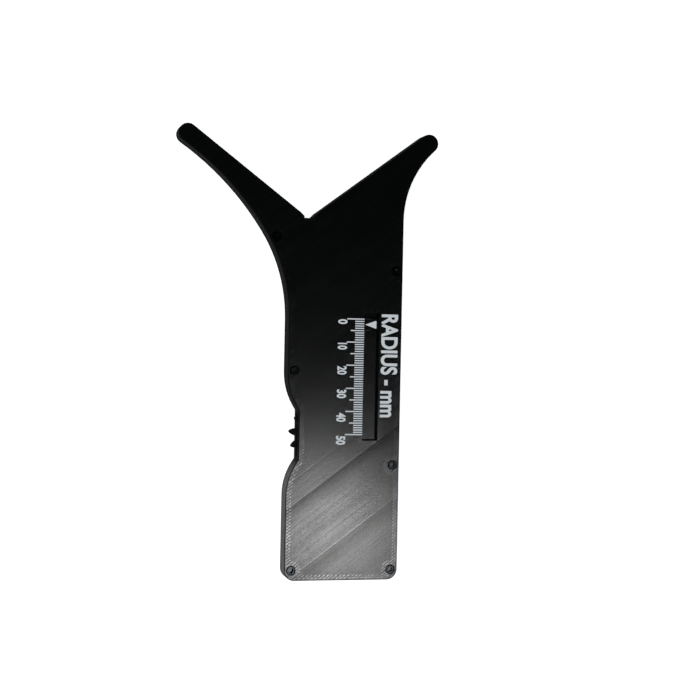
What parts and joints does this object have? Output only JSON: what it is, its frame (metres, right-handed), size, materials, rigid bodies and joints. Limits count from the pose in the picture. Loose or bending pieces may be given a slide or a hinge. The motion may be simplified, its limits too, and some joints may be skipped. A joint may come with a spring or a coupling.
{
  "type": "adjustable radius gauge",
  "caption": "Long flat gauge with a wide V jaw at one end; a sliding probe in the V drives a thumb gear and a pointer along a straight scale.",
  "frame": {"origin": "theoretical vertex of the V jaw, on the back face", "axes": "+Y out of the V along its axis, +X to the right seen from the front, +Z out of the front face"},
  "size_m": [0.1136, 0.1942, 0.01],
  "materials": {
    "black_print": "fused filament, fine layer lines",
    "black_print_face": "satin printed face with diagonal lines",
    "white_inlay": "matt printed inlay",
    "steel_dowel": "ground",
    "black_screw": "black oxide",
    "brass_insert": "knurled"
  },
  "bodies": {
    "case": {"rear_housing": "black_print", "front_cover": "black_print_face", "scale_marks": "white_inlay", "gear_axle": "steel_dowel", "cover_screws": "black_screw", "thread_inserts": "brass_insert"},
    "slide": {"pointer_slide": "black_print", "pointer_arrow": "white_inlay"},
    "probe": {"probe": "black_print"},
    "gear": {"thumb_gear": "black_print"}
  },
  "joints": [
    {"name": "pointer_travel", "type": "slide", "parent": "case", "child": "slide", "axis": [0, -1, 0], "range_m": [-0.00234, 0.04766]},
    {"name": "probe_travel", "type": "slide", "parent": "case", "child": "probe", "axis": [0, 1, 0], "range_m": [-0.00059, 0.01192]},
    {"name": "gear_turn", "type": "hinge", "parent": "case", "child": "gear", "pos_m": [0.0062, -0.0929, 0.0056], "axis": [0, 0, -1], "range_deg": [-12.5, 253]}
  ],
  "couplings": [
    {"joint": "probe_travel", "follows": "pointer_travel", "ratio": 0.25},
    {"joint": "gear_turn", "follows": "pointer_travel", "rad_per_m": 92.593}
  ]
}
